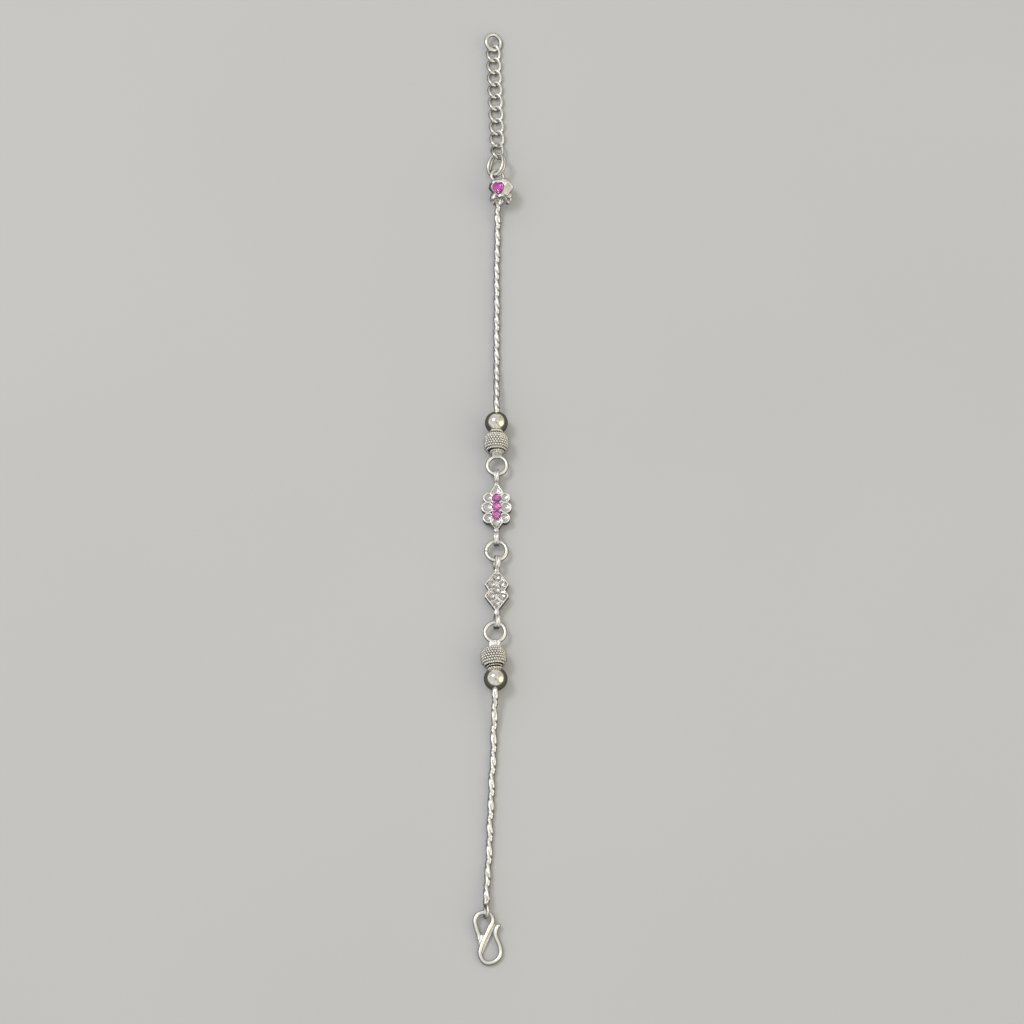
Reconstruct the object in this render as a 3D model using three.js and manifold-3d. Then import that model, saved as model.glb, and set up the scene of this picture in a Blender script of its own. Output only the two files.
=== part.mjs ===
// A silver charm bracelet, unfastened and lying straight on a flat surface, in millimetres.
// Its long axis is Y: the extension chain is at +Y and the hook at -Y. Z is up, and z = 0 is the surface.
import * as THREE from 'three';
import { mergeVertices } from 'three/addons/utils/BufferGeometryUtils.js';
import Module from 'manifold-3d';

const wasm = await Module();
wasm.setup();

// ---- driving dimensions ----

const CLEARANCE = 0.1;           // between two soldered groups that stand face to face

// Curb links: x and y are the place of the link nearest the charm but one; the rest follow at the pitch.
const EXTENSION = {
  links: 9, x: 0.69, y: 86.14, pitch: 2.99, drift: 0.039, height: 0.82,
  width: 3.25, length: 4.4, wire: 0.6, twist: 37, square: 0.1,
};
const LAST_LINK = {
  x: 0.74, y: 82.81, z: 1.62, width: 2.98, length: 5.3, twist: 45.5, square: 0.35, slope: -23.5,
  roll: 2.7,
};
const END_RING = {
  x: -0.1, y: 109.76, z: 1.02, width: 4.2, length: 4.5, wire: 0.84, roll: 21.7, slope: 7.6,
};

// An open coil of this many turns.
const DOUBLE_RING = {
  x: 0.52, y: 79.06, z: 2.06, width: 5.0, length: 5.7, wire: 0.6, spread: -0.64, turns: 1.83, start: 250,
  slope: 1.3, roll: -40.9,
};

const CHARM = { x: 1.43, y: 73.45, z: 2.64, sides: 5, roll: 6, faceRadius: 2.7 };
const CHARM_LOOP = { x: 0.8, y: 76.2, z: 2.42, outer: 3.4, wire: 0.65, roll: 20 };
const CHARM_STONE = { width: 2.46, length: 3.2, rim: 0.36, rise: 0.3, y: -1.3 };

const CHAIN = { width: 1.04, sides: 8, step: 2.6 };

const AXIS_HEIGHT = 2.56;        // the beads' axis above the surface
const BALL = { radius: 2.37, bore: 0.62 };
const RING_HEIGHT = 1.85;        // the jump rings at the beads lie level, lower than that axis

const BAIL = { outer: 1.55, thick: 0.42, width: 1.05, neckWidth: 1.0, neckHeight: 0.9 };
const PLAQUE = { back: 0.8, thick: 1.35, recess: 0.3, rim: 0.3 };

const HOOK = { y: -94.42, wire: 0.86, slope: 4.2, web: 0.44 };
const HOOK_LINK = {
  x: -1.1, y: -84.29, z: 1.46, outer: 3.1, wire: 0.6, roll: -74, collarRadius: 0.72,
  collarLength: 0.8,
};

// The middle row of the bracelet: where each ring, bead and plaque stands along Y, and its offset in X.
// The drum leans about the ball's centre, in degrees, and the jump ring stands a little to one side.
const UPPER_BEADS = {
  x: 0.7, lean: 0, ballY: 18.79, ringX: 0.84, ringY: 9.56, ringOuter: 4.8, ringWire: 0.81, neck: 0.95,
  toRing: -1,
};
const LOWER_BEADS = {
  x: 0.66, lean: 5.5, ballY: -37.03, ringX: 0.52, ringY: -26.83, ringOuter: 4.9, ringWire: 0.81, neck: 1.2,
  toRing: 1,
};
const FLOWER = { x: 0.76, y: 0.3, bail: 6.8, tip: 4.6, column: 2.2, columnLength: 5.6 };
const DIAMOND = { x: 0.85, y: -17.88, bailUp: 6.1, bailDown: 6.55, tip: 4.1 };
const MIDDLE_RING = { x: 0.74, y: -9.17, outer: 4.97, wire: 0.82 };

// ---- materials ----

const silver = new THREE.MeshStandardMaterial({ color: 0xd9d6cf, roughness: 0.22, metalness: 1 });
const brightSilver = new THREE.MeshStandardMaterial({ color: 0xe4e1da, roughness: 0.06, metalness: 1 });
const grainedSilver = new THREE.MeshStandardMaterial({ color: 0xcfcabf, roughness: 0.35, metalness: 1 });
const pinkStone = new THREE.MeshStandardMaterial({ color: 0xb8329a, roughness: 0.05, metalness: 0 });

// ---- helpers ----

const radians = THREE.MathUtils.degToRad;

function toSolid(geometry) {
  const bare = geometry.clone();
  bare.deleteAttribute('normal');
  bare.deleteAttribute('uv');
  const merged = mergeVertices(bare, 1e-4);
  return new wasm.Manifold(new wasm.Mesh({
    numProp: 3,
    vertProperties: new Float32Array(merged.attributes.position.array),
    triVerts: new Uint32Array(merged.index.array),
  }));
}

function toGeometry(solid) {
  const mesh = solid.getMesh();
  const geometry = new THREE.BufferGeometry();
  geometry.setAttribute('position', new THREE.BufferAttribute(mesh.vertProperties, 3));
  geometry.setIndex(new THREE.BufferAttribute(mesh.triVerts, 1));
  return geometry;
}

function join(geometries) {
  const solids = geometries.map(toSolid);
  return toGeometry(solids.reduce((whole, next) => whole.add(next)));
}

function cut(geometry, tools) {
  const solids = tools.map(toSolid);
  return toGeometry(solids.reduce((whole, next) => whole.subtract(next), toSolid(geometry)));
}

function place(mesh, x, y, z) {
  mesh.position.set(x, y, z);
  return mesh;
}

function named(name, geometry, material) {
  const mesh = new THREE.Mesh(geometry, material);
  mesh.name = name;
  return mesh;
}

function polygon(radius, sides) {
  const corners = Array.from({ length: sides }, (_, i) => {
    const angle = (2 * Math.PI * i) / sides;
    return new THREE.Vector2(radius * Math.cos(angle), radius * Math.sin(angle));
  });
  return new THREE.Shape(corners);
}

// A round wire swept along an open path.
function wireAlong(path, radius, steps, sides = 8) {
  return new THREE.ExtrudeGeometry(polygon(radius, sides), { steps, extrudePath: path, bevelEnabled: false });
}

// A round wire ring that lies in the XY plane.
function wireRing(outerDiameter, wire, around = 22, sides = 7) {
  return new THREE.TorusGeometry((outerDiameter - wire) / 2, wire / 2, sides, around);
}

// A solid turned round the Y axis from [radius, y] pairs that run towards +Y.
function turned(pairs, sides = 24, start = 0) {
  const profile = pairs.map(([radius, y]) => new THREE.Vector2(radius, y));
  return new THREE.LatheGeometry(profile, sides, start);
}

// A flat plate in the XY plane between two heights.
function plate(shape, bottom, top, curveSegments = 6) {
  const options = { depth: top - bottom, bevelEnabled: false, curveSegments };
  return new THREE.ExtrudeGeometry(shape, options).translate(0, 0, bottom);
}

function disc(x, y, radius, bottom, top, sides) {
  const geometry = new THREE.CylinderGeometry(radius, radius, top - bottom, sides);
  return geometry.rotateX(Math.PI / 2).translate(x, y, (top + bottom) / 2);
}

// A stone as a low eight-sided crown.
function crown(x, y, radius, bottom, top, stretch = 1) {
  const geometry = new THREE.CylinderGeometry(radius * 0.55, radius, top - bottom, 8);
  return geometry.rotateX(Math.PI / 2).scale(1, stretch, 1).translate(x, y, (top + bottom) / 2);
}

// ---- extension chain ----

// A closed oval whose plane turns about its long axis, from -twist at one end to +twist at the other.
// square fills its corners out.
class OvalCurve extends THREE.Curve {
  constructor(width, length, twist = 0, square = 0) {
    super();
    this.width = width;
    this.length = length;
    this.twist = radians(twist);
    this.square = square;
  }

  getPoint(t, target = new THREE.Vector3()) {
    const angle = 2 * Math.PI * t;
    const across = (this.width / 2) * Math.cos(angle) * (1 + this.square * Math.sin(angle) ** 2);
    const turn = this.twist * Math.sin(angle);
    return target.set(across * Math.cos(turn), (this.length / 2) * Math.sin(angle), across * Math.sin(turn));
  }
}

function extensionLink(number) {
  const last = number === EXTENSION.links;
  const { width, length, twist, square } = last ? LAST_LINK : EXTENSION;
  const oval = new OvalCurve(width - EXTENSION.wire, length - EXTENSION.wire, twist, square);
  const geometry = new THREE.TubeGeometry(oval, 18, EXTENSION.wire / 2, 7, true);
  const mesh = named(`extension_link_${number}`, geometry, silver);
  if (last) {
    mesh.rotation.set(radians(LAST_LINK.slope), radians(LAST_LINK.roll), 0);
    return place(mesh, LAST_LINK.x, LAST_LINK.y, LAST_LINK.z);
  }
  const along = EXTENSION.pitch * (EXTENSION.links - 1 - number);
  return place(mesh, EXTENSION.x - along * EXTENSION.drift, EXTENSION.y + along, EXTENSION.height);
}

function endRing() {
  const oval = new OvalCurve(END_RING.width - END_RING.wire, END_RING.length - END_RING.wire);
  const mesh = named('end_ring', new THREE.TubeGeometry(oval, 22, END_RING.wire / 2, 7, true), silver);
  mesh.rotation.set(radians(END_RING.slope), radians(END_RING.roll), 0);
  return place(mesh, END_RING.x, END_RING.y, END_RING.z);
}

// ---- double ring, charm ----

class CoilCurve extends THREE.Curve {
  getPoint(t, target = new THREE.Vector3()) {
    const angle = radians(DOUBLE_RING.start) + 2 * Math.PI * DOUBLE_RING.turns * t;
    const halfWidth = (DOUBLE_RING.width - DOUBLE_RING.wire) / 2;
    const halfLength = (DOUBLE_RING.length - DOUBLE_RING.wire) / 2;
    const rise = DOUBLE_RING.spread * DOUBLE_RING.turns * (t - 0.5);
    return target.set(halfWidth * Math.cos(angle), halfLength * Math.sin(angle), rise);
  }
}

function doubleRing() {
  const mesh = named('double_ring', wireAlong(new CoilCurve(), DOUBLE_RING.wire / 2, 36, 7), silver);
  mesh.rotation.set(radians(DOUBLE_RING.slope), radians(DOUBLE_RING.roll), 0);
  return place(mesh, DOUBLE_RING.x, DOUBLE_RING.y, DOUBLE_RING.z);
}

// A pear outline with its point towards -Y, the middle of its length at the origin.
function pearShape(width, length) {
  const half = width / 2;
  const centre = length / 2 - half;
  const shape = new THREE.Shape();
  shape.moveTo(0, -length / 2);
  shape.quadraticCurveTo(half * 0.75, centre - half * 0.6, half, centre);
  shape.absarc(0, centre, half, 0, Math.PI, false);
  shape.quadraticCurveTo(-half * 0.75, centre - half * 0.6, 0, -length / 2);
  return shape;
}

// The bud's profile as [corner radius, y]: the inside of its mouth, then its outside up to the closed end.
const BUD_INSIDE = [[0, -1.35], [1.2, -1.45], [2.1, -2.9]];
const BUD_OUTSIDE = [
  [2.45, -2.9], [1.95, -2.1], [1.72, -1.45], [2.25, -0.55], [CHARM.faceRadius, 0.2], [2.4, 0.85], [1.6, 1.45],
  [0, 1.45],
];

function budFrame(geometry) {
  const faceHeight = CHARM.faceRadius * Math.cos(Math.PI / CHARM.sides);
  return geometry.translate(0, CHARM_STONE.y, faceHeight).rotateY(radians(-CHARM.roll));
}

const BUD_NOTCH = { radius: 0.55, length: 1.3, y: -2.75, out: 2.2 };   // between one petal tip and the next
const BEZEL_ROOT = 0.9;
const SEAT_DEPTH = 0.15;

function charm() {
  const start = radians(-CHARM.roll) - Math.PI / CHARM.sides;
  const body = turned([...BUD_INSIDE, ...BUD_OUTSIDE], CHARM.sides, start);
  const notch = new THREE.ConeGeometry(BUD_NOTCH.radius, BUD_NOTCH.length, 4);
  const notches = Array.from({ length: CHARM.sides }, (_, i) => {
    const angle = start + (2 * Math.PI * i) / CHARM.sides;
    return notch.clone().translate(0, BUD_NOTCH.y, BUD_NOTCH.out).rotateY(angle);
  });
  const rimWidth = CHARM_STONE.width + 2 * CHARM_STONE.rim;
  const rimLength = CHARM_STONE.length + 2 * CHARM_STONE.rim;
  const bezel = budFrame(plate(pearShape(rimWidth, rimLength), -BEZEL_ROOT, CHARM_STONE.rise));
  const seat = budFrame(plate(pearShape(CHARM_STONE.width, CHARM_STONE.length), -SEAT_DEPTH, 1));
  const loop = wireRing(CHARM_LOOP.outer, CHARM_LOOP.wire, 20);
  loop.rotateY(radians(CHARM_LOOP.roll));
  loop.translate(CHARM_LOOP.x - CHARM.x, CHARM_LOOP.y - CHARM.y, CHARM_LOOP.z - CHARM.z);
  const geometry = cut(join([cut(body, notches), bezel, loop]), [seat]);
  return place(named('charm', geometry, silver), CHARM.x, CHARM.y, CHARM.z);
}

function charmStone() {
  const girdle = pearShape(CHARM_STONE.width - 2 * CLEARANCE, CHARM_STONE.length - 2 * CLEARANCE);
  const bevel = 0.32;
  const stone = new THREE.ExtrudeGeometry(girdle, {
    depth: 0.2, curveSegments: 5, bevelSegments: 1, bevelSize: bevel, bevelThickness: 0.25, bevelOffset: -bevel,
  });
  const geometry = budFrame(stone.translate(0, 0, 0.25 + CLEARANCE - SEAT_DEPTH));
  return place(named('charm_stone', geometry, pinkStone), CHARM.x, CHARM.y, CHARM.z);
}

// ---- fine chains, each as one tube along its route ----

const UPPER_ROUTE = [
  { x: 1.15, y: 71.5, z: 2.3 }, { x: 0.92, y: 69.6, z: 1.8 }, { x: 0.82, y: 65.5, z: 0.8 },
  { x: 0.78, y: 61, z: 0.54 }, { x: 0.66, y: 54, z: 0.54 }, { x: 0.72, y: 46, z: 0.54 },
  { x: 0.66, y: 39, z: 0.54 }, { x: 0.7, y: 32.5, z: 0.8 }, { x: 0.7, y: 26.5, z: 1.9 },
  { x: 0.7, y: 22.6, z: 2.5 }, { x: 0.7, y: 20.7, z: 2.56 },
];
const LOWER_ROUTE = [
  { x: 0.62, y: -38.95, z: 2.56 }, { x: 0.5, y: -40.9, z: 2.45 }, { x: 0.4, y: -44.5, z: 1.55 },
  { x: 0.26, y: -48.8, z: 0.75 }, { x: 0.2, y: -53, z: 0.54 }, { x: -0.1, y: -57, z: 0.54 },
  { x: -0.18, y: -61, z: 0.54 }, { x: -0.42, y: -66, z: 0.54 }, { x: -0.5, y: -70.5, z: 0.54 },
  { x: -0.72, y: -75, z: 0.62 }, { x: -0.98, y: -79, z: 1.2 }, { x: -1.05, y: -82.1, z: 1.6 },
];

function fineChain(name, route) {
  const path = new THREE.CatmullRomCurve3(route.map(({ x, y, z }) => new THREE.Vector3(x, y, z)));
  const steps = Math.round(path.getLength() / CHAIN.step);
  return named(name, wireAlong(path, CHAIN.width / 2, steps, CHAIN.sides), silver);
}

// ---- beads: built with +Y running from the ball towards the jump ring ----

function ballBead(name) {
  const rings = 10;
  const open = Math.asin(BALL.bore / BALL.radius);
  const arc = Array.from({ length: rings + 1 }, (_, i) => {
    const angle = open + ((Math.PI - 2 * open) * i) / rings;
    return [BALL.radius * Math.sin(angle), -BALL.radius * Math.cos(angle)];
  });
  return named(name, turned([...arc, [BALL.bore, arc[0][1]], arc[0]], 18), brightSilver);
}

// Cap against the ball, flange, tube, then the open-ended drum that carries the grains: [radius, y].
const DRUM_FLOOR = 5.75;
const DRUM_MOUTH = 1.72;
const FLANGE_END = 6.6;
const DRUM = [
  [0, 2.46], [0.7, 2.35], [1.3, 2.06], [1.4, 2.14], [0.95, 2.52], [1.6, 2.62], [1.6, 2.8], [1.0, 2.86],
  [1.0, 3.45], [DRUM_MOUTH, 3.45], [1.8, 2.96], [2.08, 2.93], [2.34, 3.3], [2.5, 3.85], [2.55, 4.6], [2.5, 5.35],
  [2.34, 5.9], [2.08, 6.27], [1.8, 6.24], [DRUM_MOUTH, DRUM_FLOOR], [0, DRUM_FLOOR],
];

function grainBead(name) {
  return named(name, turned(DRUM, 18), grainedSilver);
}

// The jump ring with its neck, flange and the stub that stands inside the drum's mouth.
function beadRing(name, beads) {
  const reach = Math.abs(beads.ballY - beads.ringY);
  const drop = AXIS_HEIGHT - RING_HEIGHT;
  const wireY = reach - (beads.ringOuter - beads.ringWire) / 2;
  const stub = DRUM_FLOOR + CLEARANCE + DRUM_MOUTH * Math.sin(radians(beads.lean));
  const flangeProfile = [[0, stub], [1.0, stub], [1.0, 6.38], [1.4, 6.44], [1.4, FLANGE_END], [0, FLANGE_END]];
  const flange = turned(flangeProfile, 14);
  const fall = Math.atan2(drop, wireY - FLANGE_END);
  const neckLength = Math.hypot(drop, wireY - FLANGE_END);
  const neck = turned([[0, 0], [beads.neck, 0], [beads.neck * 0.7, neckLength], [0, neckLength]], 12);
  neck.translate(0, -0.1, 0).rotateX(-fall).translate(0, FLANGE_END, 0);
  const ring = wireRing(beads.ringOuter, beads.ringWire).translate(0, reach, -drop);
  return named(name, join([flange, neck, ring]), silver);
}

function beadSet(end, beads) {
  const set = new THREE.Group();
  const drum = grainBead(`grain_bead_${end}`);
  const ring = beadRing(`jump_ring_${end}`, beads);
  drum.rotation.z = radians(beads.lean);
  ring.position.x = beads.toRing * (beads.ringX - beads.x);
  set.add(ballBead(`ball_bead_${end}`), drum, ring);
  if (beads.toRing < 0) set.rotation.z = Math.PI;
  return place(set, beads.x, beads.ballY, AXIS_HEIGHT);
}

// ---- plaques ----

function bail(y) {
  const inner = BAIL.outer - BAIL.thick;
  const half = BAIL.width / 2;
  const profile = [[inner, -half], [BAIL.outer, -half], [BAIL.outer, half], [inner, half], [inner, -half]];
  return turned(profile, 18).rotateZ(Math.PI / 2).translate(0, y, BAIL.outer);
}

// The short bar that solders a bail to the plaque's tip.
function neck(fromY, bailY) {
  const towards = Math.sign(bailY - fromY);
  const toY = bailY - towards * (BAIL.outer - BAIL.thick / 2);
  const length = Math.abs(toY - fromY);
  const bar = new THREE.BoxGeometry(BAIL.neckWidth, length, BAIL.neckHeight);
  return bar.translate(0, (fromY + toY) / 2, BAIL.outer);
}

const PLAQUE_TOP = PLAQUE.back + PLAQUE.thick;

// The round petals beside the centre column: place and outer radius, for one side.
const SIDE_PETALS = [
  { x: 1.62, y: 2.02, radius: 1.12 },
  { x: 1.83, y: -0.1, radius: 1.24 },
  { x: 1.62, y: -2.4, radius: 1.15 },
];
const END_PETAL = {
  width: 2.66, length: 3.45, y: 3.495, seatWidth: 2.06, seatLength: 2.7, seatY: 3.47, stoneY: 3.3,
};
const PINK_STONES = { radius: 0.85, spacing: 1.86, rise: 0.35 };

function flowerPlaque() {
  const seatFloor = PLAQUE_TOP - PLAQUE.recess;
  const petals = [];
  const seats = [];
  const stones = [];
  for (const side of [-1, 1]) {
    for (const { x, y, radius } of SIDE_PETALS) {
      const inner = radius - PLAQUE.rim;
      petals.push(disc(side * x, y, radius, PLAQUE.back, PLAQUE_TOP, 12));
      seats.push(disc(side * x, y, inner, seatFloor, PLAQUE_TOP + 1, 9));
      stones.push(crown(side * x, y, inner * 0.9, seatFloor - 0.1, PLAQUE_TOP + 0.1));
    }
    const turn = side > 0 ? Math.PI : 0;
    const tip = plate(pearShape(END_PETAL.width, END_PETAL.length), PLAQUE.back, PLAQUE_TOP, 5);
    const tipSeat = plate(pearShape(END_PETAL.seatWidth, END_PETAL.seatLength), seatFloor, PLAQUE_TOP + 1, 5);
    petals.push(tip.rotateZ(turn).translate(0, side * END_PETAL.y, 0));
    seats.push(tipSeat.rotateZ(turn).translate(0, side * END_PETAL.seatY, 0));
    stones.push(crown(0, side * END_PETAL.stoneY, 0.85, seatFloor - 0.1, PLAQUE_TOP + 0.1, 1.15));
  }
  const column = new THREE.BoxGeometry(FLOWER.column, FLOWER.columnLength, PLAQUE.thick);
  column.translate(0, 0, PLAQUE.back + PLAQUE.thick / 2);
  for (const row of [-1, 0, 1]) {
    const { radius, spacing, rise } = PINK_STONES;
    stones.push(crown(0, row * spacing, radius, seatFloor, PLAQUE_TOP + rise));
  }
  const setting = cut(join([column, ...petals]), seats);
  const bails = [-1, 1].map((side) => bail(side * FLOWER.bail));
  const necks = [-1, 1].map((side) => neck(side * FLOWER.tip, side * FLOWER.bail));
  const geometry = join([setting, ...stones, ...bails, ...necks]);
  return place(named('flower_connector', geometry, silver), FLOWER.x, FLOWER.y, 0);
}

// The double rhombus: half widths at its corners and notches, and how far its points and corners are along Y.
const RHOMBUS = { half: 2.45, notch: 1.65, tip: 4.6, shoulder: 1.3 };

function rhombusShape(inset) {
  const { half, notch, tip, shoulder } = RHOMBUS;
  const point = tip - 1.5 * inset;
  const corner = half - 1.2 * inset;
  const waist = notch - inset;
  const right = [[0, point], [corner, shoulder], [waist, 0], [corner, -shoulder]];
  const left = [[0, -point], [-corner, -shoulder], [-waist, 0], [-corner, shoulder]];
  return new THREE.Shape([...right, ...left].map(([x, y]) => new THREE.Vector2(x, y)).reverse());
}

const CLEAR_RADIUS = 0.78;
const CLEAR_STONES = [
  { x: 0, y: 2.75 }, { x: -1.12, y: 1.25 }, { x: 1.12, y: 1.25 }, { x: 0, y: 0 }, { x: -1.12, y: -1.3 },
  { x: 1.12, y: -1.3 }, { x: 0, y: -2.85 },
];

function diamondPlaque() {
  const body = plate(rhombusShape(0), PLAQUE.back, PLAQUE_TOP);
  const seatFloor = PLAQUE_TOP - PLAQUE.recess;
  const seat = plate(rhombusShape(PLAQUE.rim), seatFloor, PLAQUE_TOP + 1);
  const stoneTop = PLAQUE_TOP + 0.12;
  const stones = CLEAR_STONES.map(({ x, y }) => crown(x, y, CLEAR_RADIUS, seatFloor - 0.1, stoneTop));
  const bails = [bail(DIAMOND.bailUp), bail(-DIAMOND.bailDown)];
  const necks = [neck(DIAMOND.tip, DIAMOND.bailUp), neck(-DIAMOND.tip, -DIAMOND.bailDown)];
  const geometry = join([cut(body, [seat]), ...stones, ...bails, ...necks]);
  return place(named('diamond_connector', geometry, silver), DIAMOND.x, DIAMOND.y, 0);
}

function middleRing() {
  const mesh = named('jump_ring_middle', wireRing(MIDDLE_RING.outer, MIDDLE_RING.wire), silver);
  return place(mesh, MIDDLE_RING.x, MIDDLE_RING.y, BAIL.outer);
}

// ---- clasp ----

function hookLink() {
  const { outer, wire, roll, collarRadius, collarLength } = HOOK_LINK;
  const ring = wireRing(outer, wire, 20).rotateY(radians(roll));
  const start = (outer - wire) / 2;
  const end = start + collarLength;
  const collar = turned([[0, start], [collarRadius, start], [collarRadius, end], [0, end]], 12);
  return place(named('hook_link', join([ring, collar]), silver), HOOK_LINK.x, HOOK_LINK.y, HOOK_LINK.z);
}

// The hook's centreline in its own plane, from the soldered end of its eye to its open tip.
const HOOK_ROUTE = [
  { x: -2.47, y: 4.5 }, { x: -2.53, y: 5.4 }, { x: -2.9, y: 6.4 }, { x: -3.33, y: 8.1 },
  { x: -3.17, y: 8.92 }, { x: -2.6, y: 9.6 }, { x: -1.73, y: 9.88 }, { x: -0.85, y: 9.82 },
  { x: -0.17, y: 9.4 }, { x: 0.17, y: 8.7 }, { x: 0.14, y: 8.02 }, { x: -0.23, y: 7.35 },
  { x: -0.7, y: 6.39 }, { x: -1.57, y: 4.45 }, { x: -1.96, y: 3.49 }, { x: -2.25, y: 2.6 },
  { x: -2.33, y: 1.94 }, { x: -2.0, y: 0.92 }, { x: -1.33, y: 0.17 }, { x: -0.37, y: 0 },
  { x: 0.7, y: 0.37 }, { x: 1.44, y: 1.17 }, { x: 1.72, y: 2.22 }, { x: 1.51, y: 3.49 },
  { x: 1.11, y: 4.45 }, { x: 0.76, y: 5.41 }, { x: 0.72, y: 6.29 }, { x: 0.99, y: 6.97 },
  { x: 1.28, y: 7.24 },
];

// The flat web of solder in the eye's corner, and the strip under the slanting wire.
const HOOK_WEB = [
  { x: -2.62, y: 5.45 }, { x: -1.15, y: 5.45 }, { x: -1.95, y: 3.2 }, { x: -2.3, y: 3.0 },
  { x: -2.5, y: 4.2 },
];
const HOOK_STRIP = { width: 0.95, length: 6.4, thick: 0.3, turn: -24, x: -0.98, y: 4.9, z: -0.38 };

function sHook() {
  const path = new THREE.CatmullRomCurve3(HOOK_ROUTE.map(({ x, y }) => new THREE.Vector3(x, y, 0)));
  const wire = wireAlong(path, HOOK.wire / 2, 48);
  const webShape = new THREE.Shape(HOOK_WEB.map(({ x, y }) => new THREE.Vector2(x, y)).reverse());
  const web = plate(webShape, -HOOK.web / 2, HOOK.web / 2);
  const strip = new THREE.BoxGeometry(HOOK_STRIP.width, HOOK_STRIP.length, HOOK_STRIP.thick);
  strip.rotateZ(radians(HOOK_STRIP.turn)).translate(HOOK_STRIP.x, HOOK_STRIP.y, HOOK_STRIP.z);
  const mesh = named('s_hook', join([wire, web, strip]), silver);
  mesh.rotation.x = radians(HOOK.slope);
  return place(mesh, 0, HOOK.y, HOOK.wire / 2 + 0.02);
}

// ---- the bracelet, moved so that its origin is under the middle of its bounds ----

const bracelet = new THREE.Group();
bracelet.add(endRing());
for (let number = 1; number <= EXTENSION.links; number += 1) bracelet.add(extensionLink(number));
bracelet.add(doubleRing(), charm(), charmStone(), fineChain('chain_upper', UPPER_ROUTE));
bracelet.add(beadSet('upper', UPPER_BEADS), flowerPlaque(), middleRing(), diamondPlaque());
bracelet.add(beadSet('lower', LOWER_BEADS), fineChain('chain_lower', LOWER_ROUTE), hookLink(), sHook());

const group = new THREE.Group();
group.add(bracelet);
group.updateMatrixWorld(true);
const bounds = new THREE.Box3().setFromObject(bracelet, true);
const middle = bounds.getCenter(new THREE.Vector3());
bracelet.position.set(-middle.x, -middle.y, -bounds.min.z);

export default group;
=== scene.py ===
"""Looks for a silver charm bracelet that lies open and straight.

Shapes are given in millimetres, in the bracelet's own layout: +Y towards the extension chain, -Y towards the
hook, x = 0 near the hook's wire and z = 0 on the surface."""

import math

import bmesh
import bpy
from mathutils import Matrix, Vector, geometry, noise


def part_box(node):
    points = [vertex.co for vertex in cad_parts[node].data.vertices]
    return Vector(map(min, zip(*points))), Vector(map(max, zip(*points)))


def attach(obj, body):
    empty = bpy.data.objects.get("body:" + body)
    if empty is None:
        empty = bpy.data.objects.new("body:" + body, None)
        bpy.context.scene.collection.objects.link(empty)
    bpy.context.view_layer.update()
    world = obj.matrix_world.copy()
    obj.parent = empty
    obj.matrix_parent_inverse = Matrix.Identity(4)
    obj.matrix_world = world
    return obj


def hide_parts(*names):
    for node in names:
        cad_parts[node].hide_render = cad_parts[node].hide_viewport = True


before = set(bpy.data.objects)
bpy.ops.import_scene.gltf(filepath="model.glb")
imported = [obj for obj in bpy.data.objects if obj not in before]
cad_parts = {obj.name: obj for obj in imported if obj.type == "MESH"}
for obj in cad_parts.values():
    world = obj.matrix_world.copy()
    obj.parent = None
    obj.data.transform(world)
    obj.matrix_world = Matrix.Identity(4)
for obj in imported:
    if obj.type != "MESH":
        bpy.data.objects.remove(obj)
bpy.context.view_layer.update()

MM = 0.001
UP = Vector((0, 0, 1))
HAND_SEED = 2
noise.seed_set(HAND_SEED)        # unseeded, the noise starts from the clock

# The middle jump ring's place in the layout ties the layout to the frame.
RING_PLACE = Vector((0.74, -9.17, 1.55))
ring_low, ring_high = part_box("jump_ring_middle")
TO_FRAME = Matrix.Translation((ring_low + ring_high) / 2 - RING_PLACE * MM) @ Matrix.Scale(MM, 4)

# ---- camera ----

AIM = Vector((3.92, 0, 0))
DISTANCE = 650
LEAN = math.radians(22)          # from straight above, towards the hook's end
SEEN_WIDTH = 209.9               # of the view, at the aim
SENSOR_WIDTH = 36

camera_data = bpy.data.cameras.new("camera")
camera_data.sensor_width = SENSOR_WIDTH
camera_data.lens = SENSOR_WIDTH * DISTANCE / SEEN_WIDTH
camera_data.clip_start, camera_data.clip_end = 0.01, 20
camera = bpy.data.objects.new("camera", camera_data)
sight = Vector((0, -math.sin(LEAN), math.cos(LEAN)))
camera.location = TO_FRAME @ (AIM + sight * DISTANCE)
camera.rotation_euler = (LEAN, 0, 0)
bpy.context.scene.collection.objects.link(camera)
bpy.context.scene.camera = camera
bpy.context.scene.view_settings.view_transform = "Standard"


# ---- node helpers ----

COLOR_A, COLOR_B, COLOR_RESULT = 6, 7, 2          # the sockets of a Mix node that mixes colours


def add_node(tree, kind, values=None, **settings):
    """A node with its settings, then its sockets: a plain value is set and a socket is linked."""
    node = tree.nodes.new("ShaderNode" + kind)
    for name, value in settings.items():
        setattr(node, name, value)
    for name, value in (values or {}).items():
        socket = node.inputs[name]
        if isinstance(value, bpy.types.NodeSocket):
            tree.links.new(value, socket)
        else:
            socket.default_value = value
    return node


def math_node(tree, operation, first, second, clamp=False):
    return add_node(tree, "Math", {0: first, 1: second}, operation=operation, use_clamp=clamp).outputs[0]


def remap(tree, value, low, high, to_low=0.0, to_high=1.0):
    """Takes a value that runs from low to high, and lets it run from to_low to to_high."""
    ends = {"From Min": low, "From Max": high, "To Min": to_low, "To Max": to_high}
    return add_node(tree, "MapRange", {"Value": value, **ends}).outputs[0]


def mix_colors(tree, factor, first, second, blend="MIX"):
    """One colour mixed into another. Each is a socket, or plain red, green and blue."""
    values = {"Factor": factor}
    for place, color in ((COLOR_A, first), (COLOR_B, second)):
        values[place] = color if isinstance(color, bpy.types.NodeSocket) else (*color, 1)
    return add_node(tree, "Mix", values, data_type="RGBA", blend_type=blend).outputs[COLOR_RESULT]


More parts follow.
